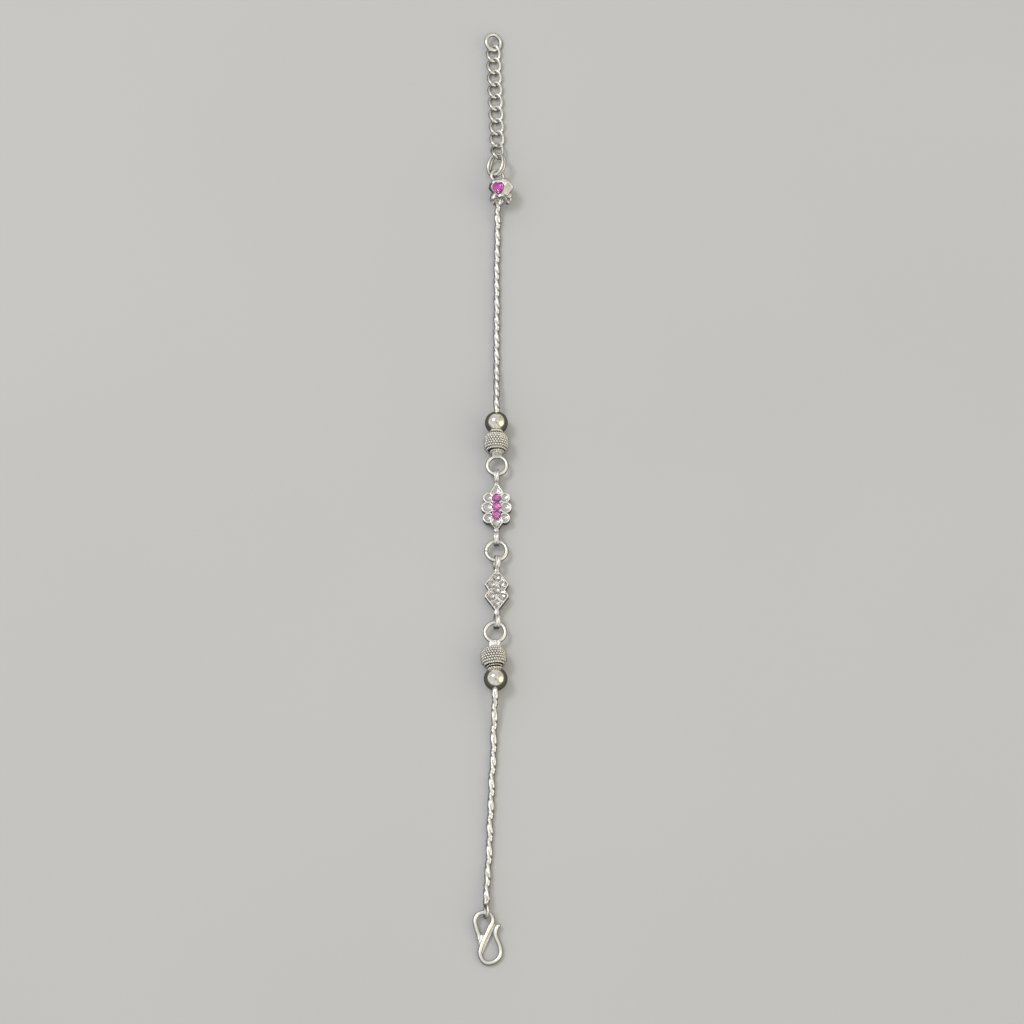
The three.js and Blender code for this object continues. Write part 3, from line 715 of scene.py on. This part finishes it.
def bead_set(end, x, ball_y, ring_x, ring_y, outer, neck, lean, to_ring):
    """A ball, its drum and its jump ring. to_ring is 1 where the ring is on the ball's +Y side, or -1; lean
    is the drum's, in degrees; neck is half the neck's width."""
    place = spot(x, ball_y, AXIS_HEIGHT) @ turn(z=180 if to_ring < 0 else 0)
    reach, shift = abs(ball_y - ring_y), to_ring * (ring_x - x)
    ball_bead(f"polished_ball_{end}", place, f"ball_bead_{end}")
    grain_bead(f"grained_drum_{end}", place @ turn(z=lean), f"grain_bead_{end}")
    bead_ring(f"soldered_ring_{end}", place, reach, outer, neck, lean, shift, f"jump_ring_{end}")


bead_set("upper", x=0.7, ball_y=18.79, ring_x=0.84, ring_y=9.56, outer=4.8, neck=0.95, lean=0, to_ring=-1)
bead_set("lower", x=0.66, ball_y=-37.03, ring_x=0.52, ring_y=-26.83, outer=4.9, neck=1.2, lean=5.5, to_ring=1)

# ---- middle jump ring ----

MIDDLE_OUTER, MIDDLE_WIRE, MIDDLE_GAP = 4.97, 0.82, 1.6
SOLDER_SHAPE = (0.8, 1.1, 0.95)

ring = bmesh.new()
middle = Matrix.Translation(RING_PLACE)
add_part(ring, by_hand(wire_ring(MIDDLE_OUTER, MIDDLE_WIRE, gap=MIDDLE_GAP), 0.02), middle @ turn(z=183))
add_part(ring, by_hand(bead(0.44, 16, 10, SOLDER_SHAPE), 0.06, 0.5), middle @ spot(1.93, 0.78))
finish_piece("butted_ring_middle", ring, WIRE_SILVER, "silver", "jump_ring_middle")

# ---- plaques ----

PLAQUE_BACK, PLAQUE_TOP, SEAT_FLOOR = 0.8, 2.15, 1.72
BAIL_OUTER, BAIL_INNER = 1.55, 1.13
BAR_WIDTH, BAR_HEIGHT = 1.0, 0.8


def bail(y):
    """A band ring about the X axis, with a shallow groove along its middle."""
    half = ((1.47, 0), (1.54, 0.12), (BAIL_OUTER, 0.3), (1.52, 0.46), (1.42, 0.525), (BAIL_INNER + 0.05, 0.5),
            (BAIL_INNER, 0.42))
    other_half = [(radius, -across) for radius, across in reversed(half)]
    part = turned([*other_half, *half[1:], other_half[0]], 48)
    bmesh.ops.transform(part, matrix=spot(0, y, BAIL_OUTER) @ turn(z=90), verts=part.verts)
    return by_hand(part, 0.02, 0.8, y)


def neck_bar(from_y, bail_y):
    """The bar between a plaque and its bail."""
    to_y = bail_y - math.copysign(BAIL_OUTER - 0.1, bail_y - from_y)
    bar = block(BAR_WIDTH, abs(to_y - from_y) + 0.1, BAR_HEIGHT, 0.2)
    bmesh.ops.transform(bar, matrix=spot(0, (from_y + to_y) / 2, BAIL_OUTER), verts=bar.verts)
    return by_hand(bar, 0.03, 0.6)


def cup(radius, rim, top=PLAQUE_TOP, floor=SEAT_FLOOR, steps=40):
    """A stone's cup with a rounded lip."""
    inner = radius - rim
    outside = [(0, PLAQUE_BACK), (radius - 0.06, PLAQUE_BACK), (radius, PLAQUE_BACK + 0.06)]
    lip = [(radius + 0.02, top - 0.16), (radius, top - 0.06), (radius - rim * 0.3, top), (radius - rim * 0.6, top)]
    inside = [(inner, top - 0.07), (inner - 0.02, top - 0.16), (inner - 0.04, floor), (0, floor)]
    return turned(outside + lip + inside, steps, "Z")


def pear_cup(width, length, rim):
    half = width / 2
    return pear(cup(half, rim, steps=48), (length - half) / half)


def prong(x, y, top, radius):
    """A post with a rounded head that holds a stone."""
    head = ((radius, top - radius * 0.8), (radius * 0.85, top - radius * 0.3), (radius * 0.5, top - 0.02), (0, top))
    part = turned(((0, SEAT_FLOOR), (radius * 0.9, SEAT_FLOOR), *head), 12, "Z")
    bmesh.ops.transform(part, matrix=spot(x, y), verts=part.verts)
    return part


FLOWER = spot(0.76, 0.3)
SIDE_PETALS = ((1.62, 2.02, 1.12), (1.83, -0.1, 1.24), (1.62, -2.4, 1.15))     # x, y, radius
PETAL_RIM, PETAL_SEAT = 0.3, PLAQUE_TOP - 0.16
FLOWER_BAIL_Y, FLOWER_BAR_Y = 6.8, 4.6
PINK_SPACING, PINK_CUP, PINK_RADIUS = 1.87, 0.93, 0.95
PINK_PRONG_X, PINK_PRONG_Y = 0.76, 0.93

setting, clear, pink = bmesh.new(), bmesh.new(), bmesh.new()
core_height = (PLAQUE_BACK + PLAQUE_TOP) / 2 - 0.02
add_part(setting, block(1.7, 5.6, 1.2, 0.05), FLOWER @ spot(0, 0, core_height))
for side in (-1, 1):
    for x, y, radius in SIDE_PETALS:
        add_part(setting, by_hand(cup(radius, PETAL_RIM), 0.02, 0.7, y), FLOWER @ spot(side * x, y))
        seat = FLOWER @ spot(side * x, y, PETAL_SEAT) @ turn(z=side * 17 + y * 9)
        add_part(clear, brilliant(radius - 0.28, crown=0.15, depth=0.25, table=0.66), seat)
    facing = turn(z=180 if side > 0 else 0)
    end_petal = by_hand(pear_cup(2.66, 3.45, PETAL_RIM), 0.02, 0.7, side)
    add_part(setting, end_petal, FLOWER @ spot(0, side * 3.12) @ facing)
    seat = FLOWER @ spot(0, side * 3.2, PETAL_SEAT) @ facing
    add_part(clear, pear(brilliant(1.02, crown=0.16, depth=0.25, table=0.62), 1.35), seat)
    add_part(setting, bail(side * FLOWER_BAIL_Y), FLOWER)
    add_part(setting, neck_bar(side * FLOWER_BAR_Y, side * FLOWER_BAIL_Y), FLOWER)
for row in (-1, 0, 1):
    add_part(setting, cup(PINK_CUP, 0.1, PLAQUE_TOP + 0.02, 1.9), FLOWER @ spot(0, row * PINK_SPACING))
    seat = FLOWER @ spot(0, row * PINK_SPACING, PLAQUE_TOP + 0.1) @ turn(z=11)
    add_part(pink, brilliant(PINK_RADIUS, crown=0.46, depth=0.45, table=0.42), seat)
for x in (-PINK_PRONG_X, PINK_PRONG_X):
    for y in (-PINK_PRONG_Y, PINK_PRONG_Y):
        add_part(setting, prong(x, y, PLAQUE_TOP + 0.42, 0.2), FLOWER)
finish_piece("flower_setting", setting, SETTING_SILVER, "silver", "flower_connector")
finish_piece("flower_pink_stones", pink, PINK_STONE, "pink_stone", crease=FACET_CREASE)
finish_piece("flower_clear_stones", clear, CLEAR_STONE, None, crease=FACET_CREASE)

DIAMOND = spot(0.85, -17.88)
DIAMOND_CORNERS = (
    (0, 4.6), (-2.45, 1.3), (-1.65, 0), (-2.45, -1.3), (0, -4.6), (2.45, -1.3), (1.65, 0), (2.45, 1.3))
DIAMOND_RIM = 0.22
CLEAR_STONES = ((0, 2.75), (-1.12, 1.25), (1.12, 1.25), (0, 0), (-1.12, -1.3), (1.12, -1.3), (0, -2.85))
DIAMOND_PRONGS = (
    (0, 1.72), (-0.95, 2.35), (0.95, 2.35), (-0.95, 0.15), (0.95, 0.15), (0, -1.75), (-0.95, -2.4), (0.95, -2.4),
    (0, 0.92), (0, -0.95), (-1.75, 0.72), (1.75, 0.72), (-1.75, -0.72), (1.75, -0.72), (-0.4, 3.55), (0.4, 3.55),
    (-0.4, -3.65), (0.4, -3.65),
)
DIAMOND_BAILS = ((4.1, 6.1), (-4.1, -6.55))       # y of the bar's start and of the bail
DIAMOND_BAIL_TURN = 10


def rhombus_tray():
    """The double rhombus with a raised rim round its sunk bed."""
    part, lifted = raised(DIAMOND_CORNERS, PLAQUE_BACK, PLAQUE_TOP)
    top = only(bmesh.types.BMFace, lifted)[0]
    bmesh.ops.inset_individual(part, faces=[top], thickness=DIAMOND_RIM, use_even_offset=True)
    sunk = bmesh.ops.extrude_discrete_faces(part, faces=[top])["faces"][0]
    bmesh.ops.translate(part, verts=sunk.verts[:], vec=(0, 0, SEAT_FLOOR - PLAQUE_TOP))
    bmesh.ops.recalc_face_normals(part, faces=part.faces)
    soften(part, part.edges[:], 0.07, 3)
    return by_hand(part, 0.02, 0.9)


setting, clear = bmesh.new(), bmesh.new()
add_part(setting, rhombus_tray(), DIAMOND)
for number, (x, y) in enumerate(CLEAR_STONES):
    add_part(setting, cup(0.74, 0.1, PLAQUE_TOP - 0.2, 1.6, 28), DIAMOND @ spot(x, y))
    seat = DIAMOND @ spot(x, y, PLAQUE_TOP - 0.14) @ turn(z=number * 19)
    add_part(clear, brilliant(0.8, crown=0.34, depth=0.26), seat)
for x, y in DIAMOND_PRONGS:
    add_part(setting, prong(x, y, PLAQUE_TOP + 0.1, 0.15), DIAMOND)
for from_y, bail_y in DIAMOND_BAILS:
    turned_bail = spot(0, 0, BAIL_OUTER) @ turn(y=DIAMOND_BAIL_TURN) @ spot(0, 0, -BAIL_OUTER)
    add_part(setting, bail(bail_y), DIAMOND @ turned_bail)
    add_part(setting, neck_bar(from_y, bail_y), DIAMOND)
for side in (-1, 1):
    # the ridge from each notch of the waist
    notch, inner = (side * 1.55, 0.05, PLAQUE_TOP - 0.06), (side * 0.95, 0.46, PLAQUE_TOP - 0.03)
    add_part(setting, wire((notch, inner), 0.11), DIAMOND)
    for end in (notch, inner):
        add_part(setting, bead(0.12, 10, 6), DIAMOND @ spot(*end))
finish_piece("diamond_setting", setting, SETTING_SILVER, "silver", "diamond_connector")
finish_piece("diamond_clear_stones", clear, CLEAR_STONE, None, crease=FACET_CREASE)

# ---- bud charm ----

CHARM = spot(1.43, 73.45, 2.64)
CHARM_SIDES, CHARM_ROLL, FACE_RADIUS, STONE_Y = 5, 6, 2.7, -1.3
CHARM_LOOP_OUTER, CHARM_LOOP_WIRE = 3.4, 0.65
FACE_HEIGHT = FACE_RADIUS * math.cos(math.pi / CHARM_SIDES)
BUD = (
    (0, -1.35), (1.2, -1.45), (1.7, -2.1), (2.05, -2.8), (2.18, -2.95), (2.4, -2.9), (2.45, -2.8), (2.2, -2.45),
    (1.95, -2.1), (1.75, -1.7), (1.72, -1.45), (1.9, -1.05), (2.25, -0.55), (2.58, -0.1), (2.7, 0.2), (2.62, 0.5),
    (2.4, 0.85), (2.0, 1.2), (1.6, 1.45), (1.2, 1.55), (0, 1.6),
)
BUD_PRESS = 0.6                  # 0 is round and 1 has flat sides
MOUTH_START, MOUTH_LENGTH, SCALLOP = 1.7, 1.2, 0.558
LIP = (
    (0, -0.9), (1.55, -0.9), (1.58, 0.1), (1.55, 0.24), (1.45, 0.3), (1.34, 0.28), (1.25, 0.18), (1.22, -0.15),
    (0, -0.15),
)
WING = (
    (-0.3, 1.3), (0.2, 1.5), (0.75, 1.4), (1.3, 1.1), (1.8, 0.65), (2.15, 0.1), (1.75, -0.6), (1.35, -1.2),
    (1.0, -1.7), (0.4, -1.7), (-0.3, -1.3),
)
WING_RIM = (
    (0.05, 1.5, 0), (0.75, 1.42, 0.05), (1.32, 1.12, 0.05), (1.84, 0.66, 0.04), (2.2, 0.1, 0),
    (1.78, -0.6, -0.02), (1.38, -1.2, -0.03), (1.02, -1.8, -0.08),
)
PETAL_TIPS = (
    # angle round the bud, tilt, place along it, length
    (10, 4, -2.75, 0.95),
    (64, 14, -2.35, 1.1),
    (-38, -26, -2.85, 1.3),
    (140, 120, -2.55, 0.95),
    (-140, -120, -2.55, 0.95),
)
TIP_RADIUS, TIP_HEIGHT, TIP_DROOP = 0.74, 2.15, -14


def bud_body():
    """Five pointed petals: a spun shape pressed to five sides, its mouth scalloped."""
    part = turned(BUD, CHARM_SIDES * 14)
    wedge = math.tau / CHARM_SIDES
    corner = math.radians(-CHARM_ROLL) - math.pi / CHARM_SIDES
    for vert in part.verts:
        if math.hypot(vert.co.x, vert.co.z) < 1e-3:
            continue
        angle = (math.atan2(vert.co.x, vert.co.z) - corner) % wedge - wedge / 2
        side = math.cos(wedge / 2) / math.cos(angle)
        towards_mouth = min(1, max(0, (-vert.co.y - MOUTH_START) / MOUTH_LENGTH))
        press = BUD_PRESS * side + 1 - BUD_PRESS
        vert.co.x *= press
        vert.co.z *= press
        vert.co.y += towards_mouth * SCALLOP * abs(math.sin(angle / wedge * math.tau)) ** 1.5
    return part


bud = bmesh.new()
on_face = CHARM @ turn(y=-CHARM_ROLL) @ spot(-0.15, STONE_Y, FACE_HEIGHT)
add_part(bud, by_hand(bud_body(), 0.03, 0.7), CHARM)
add_part(bud, by_hand(pear(turned(LIP, 48, "Z"), 1.6), 0.02, 0.7), on_face @ spot(0, 0.2) @ turn(z=5))
# the petal that stands out on the right, with its thick rim
wing = CHARM @ spot(0.5, -0.85, 2.25) @ turn(y=20)
add_part(bud, by_hand(slab(WING, -0.35, 0, 0.08), 0.03, 0.7), wing)
add_part(bud, by_hand(wire(smooth_route(WING_RIM, 4), 0.28), 0.02, 0.7), wing)
for around, tilt, along, length in PETAL_TIPS:
    tip = by_hand(bead(TIP_RADIUS, 16, 10, (1.0, length, 0.45)), 0.08, 0.5, around)
    on_bud = CHARM @ turn(y=around - CHARM_ROLL) @ spot(0, along, TIP_HEIGHT)
    add_part(bud, tip, on_bud @ turn(y=tilt - around, x=TIP_DROOP))
for end in (WING_RIM[0], WING_RIM[-1]):
    add_part(bud, bead(0.29, 12, 8), wing @ spot(*end))
add_part(bud, by_hand(wire_ring(CHARM_LOOP_OUTER, CHARM_LOOP_WIRE)), spot(0.8, 76.2, 2.42) @ turn(y=20))
finish_piece("bud_charm", bud, SETTING_SILVER, "silver", "charm")

gem = bmesh.new()
drop = pear(brilliant(1.24, crown=0.52, depth=0.2, table=0.44), 1.85)
add_part(gem, drop, on_face @ spot(0, 0.2, 0.1) @ turn(z=8))
finish_piece("pear_pink_stone", gem, PINK_STONE, "pink_stone", "charm_stone", crease=FACET_CREASE)

# ---- clasp ----

HOOK_LINK = spot(-1.1, -84.29, 1.46)
HOOK_LINK_OUTER, HOOK_LINK_WIRE = 3.1, 0.6
CRIMP = (
    (0, 1.2), (0.5, 1.2), (0.62, 1.26), (0.67, 1.36), (0.62, 1.48), (0.62, 1.66), (0.67, 1.76), (0.64, 1.92),
    (0.56, 2.02), (0, 2.05),
)
HOOK = spot(0, -94.42, 0.45) @ turn(x=4.2)
HOOK_WIRE = 0.43
HOOK_ROUTE = (
    (-2.47, 4.5), (-2.53, 5.4), (-2.9, 6.4), (-3.33, 8.1), (-3.17, 8.92), (-2.6, 9.6), (-1.73, 9.88),
    (-0.85, 9.82), (-0.17, 9.4), (0.17, 8.7), (0.14, 8.02), (-0.23, 7.35), (-0.7, 6.39), (-1.57, 4.45),
    (-1.96, 3.49), (-2.25, 2.6), (-2.33, 1.94), (-2.0, 0.92), (-1.33, 0.17), (-0.37, 0), (0.7, 0.37),
    (1.44, 1.17), (1.72, 2.22), (1.51, 3.49), (1.11, 4.45), (0.76, 5.41), (0.72, 6.29), (0.99, 6.97),
    (1.28, 7.24),
)
# the web of solder between the hook's strands, and the strip soldered behind it
HOOK_WEB = ((-2.62, 5.45), (-2.5, 4.2), (-2.3, 3.0), (-1.95, 3.2), (-1.15, 5.45))
STRIP_WIDTH, STRIP_LENGTH, STRIP_THICKNESS = 0.95, 6.4, 0.3

clasp_link = bmesh.new()
add_part(clasp_link, by_hand(wire_ring(HOOK_LINK_OUTER, HOOK_LINK_WIRE)), HOOK_LINK @ turn(y=-74))
add_part(clasp_link, by_hand(turned(CRIMP, 32), 0.04, 0.5), HOOK_LINK)
finish_piece("crimped_link", clasp_link, WIRE_SILVER, "silver", "hook_link")

hook = bmesh.new()
add_part(hook, by_hand(wire(smooth_route(HOOK_ROUTE, 5), HOOK_WIRE, roundness=5), 0.02), HOOK)
add_part(hook, bead(0.47, 20, 12, (1.1, 0.9, 0.95)), HOOK @ spot(1.28, 7.22) @ turn(z=43))
add_part(hook, by_hand(slab(HOOK_WEB, -0.22, 0.22, 0.06), 0.04, 0.6), HOOK)
strip = by_hand(block(STRIP_WIDTH, STRIP_LENGTH, STRIP_THICKNESS, 0.08), 0.03, 0.8)
add_part(hook, strip, HOOK @ spot(-0.98, 4.9, -0.38) @ turn(z=-24))
finish_piece("wire_hook", hook, WIRE_SILVER, "silver", "s_hook")

# ---- floor, light ----

FLOOR_PALE, FLOOR_PALER = (0.60, 0.60, 0.61), (0.64, 0.64, 0.64)
FLOOR_IN_SILVER = (0.08, 0.08, 0.075)             # painted reflection: the floor's darker colour for glossy rays, which the polished silver shows
FLOOR_HALF_WIDTH = 4                              # in metres


def lay_floor():
    material, tree, shader = new_material("pale_floor", Roughness=0.75, Specular_IOR_Level=0.25)
    place = add_node(tree, "TexCoord").outputs["Object"]
    mottle = add_node(tree, "TexNoise", {"Vector": place, "Scale": 9, "Detail": 3}).outputs[0]
    paper = mix_colors(tree, mottle, FLOOR_PALE, FLOOR_PALER)
    # glossy rays see the floor dark, a painted reflection in the silver
    mirrored = add_node(tree, "LightPath").outputs["Is Glossy Ray"]
    tree.links.new(mix_colors(tree, mirrored, paper, FLOOR_IN_SILVER), shader.inputs["Base Color"])
    shape = bmesh.new()
    bmesh.ops.create_grid(shape, x_segments=1, y_segments=1, size=FLOOR_HALF_WIDTH)
    mesh = bpy.data.meshes.new("floor")
    shape.to_mesh(mesh)
    shape.free()
    mesh.materials.append(material)
    floor = bpy.data.objects.new("floor", mesh)
    bpy.context.scene.collection.objects.link(floor)


def soft_light(name, place, width, power, color):
    """A round soft light that faces the origin. Its place and width are in metres."""
    data = bpy.data.lights.new(name, "AREA")
    data.shape, data.size, data.energy, data.color = "DISK", width, power, color
    lamp = bpy.data.objects.new(name, data)
    lamp.location = place
    lamp.rotation_euler = (-Vector(place)).to_track_quat("-Z", "Y").to_euler()
    bpy.context.scene.collection.objects.link(lamp)


SKY_EDGE, SKY_TOP = (0.0, 0.08), (1.0, 0.78)      # height, brightness
SKY_BETWEEN = ((0.05, 0.1), (0.18, 0.72))
COOL_LIGHT, WARM_LIGHT = (0.98, 0.99, 1.0), (1.0, 0.94, 0.78)
BACKDROP = (0.78, 0.78, 0.79)


def light_studio():
    """Soft light from all round: dark near the floor, warm on the right, a little cloudy, and dimmer
    straight behind the camera, where someone stands."""
    world = bpy.data.worlds.new("studio")
    bpy.context.scene.world = world
    world.use_nodes = True
    tree = world.node_tree
    background = tree.nodes["Background"]
    direction = add_node(tree, "TexCoord").outputs["Generated"]
    parts = add_node(tree, "SeparateXYZ", {0: direction}).outputs
    sky = add_node(tree, "ValToRGB", {0: parts["Z"]})
    ramp = sky.color_ramp
    for element, (height, value) in zip(ramp.elements, (SKY_EDGE, SKY_TOP)):
        element.position, element.color = height, (value, value, value, 1)
    for height, value in SKY_BETWEEN:
        ramp.elements.new(height).color = (value, value, value, 1)
    tone = mix_colors(tree, remap(tree, parts["X"], 0.1, 0.6), COOL_LIGHT, WARM_LIGHT)
    drift = add_node(tree, "TexNoise", {"Vector": direction, "Scale": 2.6, "Detail": 2}).outputs[0]
    cloud = remap(tree, drift, 0.35, 0.65, 0.68, 1.1)
    behind = add_node(tree, "VectorMath", {0: direction, 1: sight}, operation="DOT_PRODUCT").outputs["Value"]
    shadow = remap(tree, behind, 0.972, 0.992, 1.0, 0.6)
    strength = math_node(tree, "MULTIPLY", cloud, shadow)
    toned = mix_colors(tree, 1.0, sky.outputs[0], tone, "MULTIPLY")
    varied = add_node(tree, "VectorMath", {0: toned, "Scale": strength}, operation="SCALE").outputs[0]
    seen = add_node(tree, "LightPath").outputs["Is Camera Ray"]
    tree.links.new(mix_colors(tree, seen, varied, BACKDROP), background.inputs["Color"])


lay_floor()
soft_light("overhead_light", (-0.38, 0.22, 0.76), width=0.28, power=1.7, color=(1, 0.985, 0.95))
soft_light("side_light", (0.75, -0.25, 0.5), width=0.8, power=1.3, color=(1, 0.91, 0.72))
light_studio()
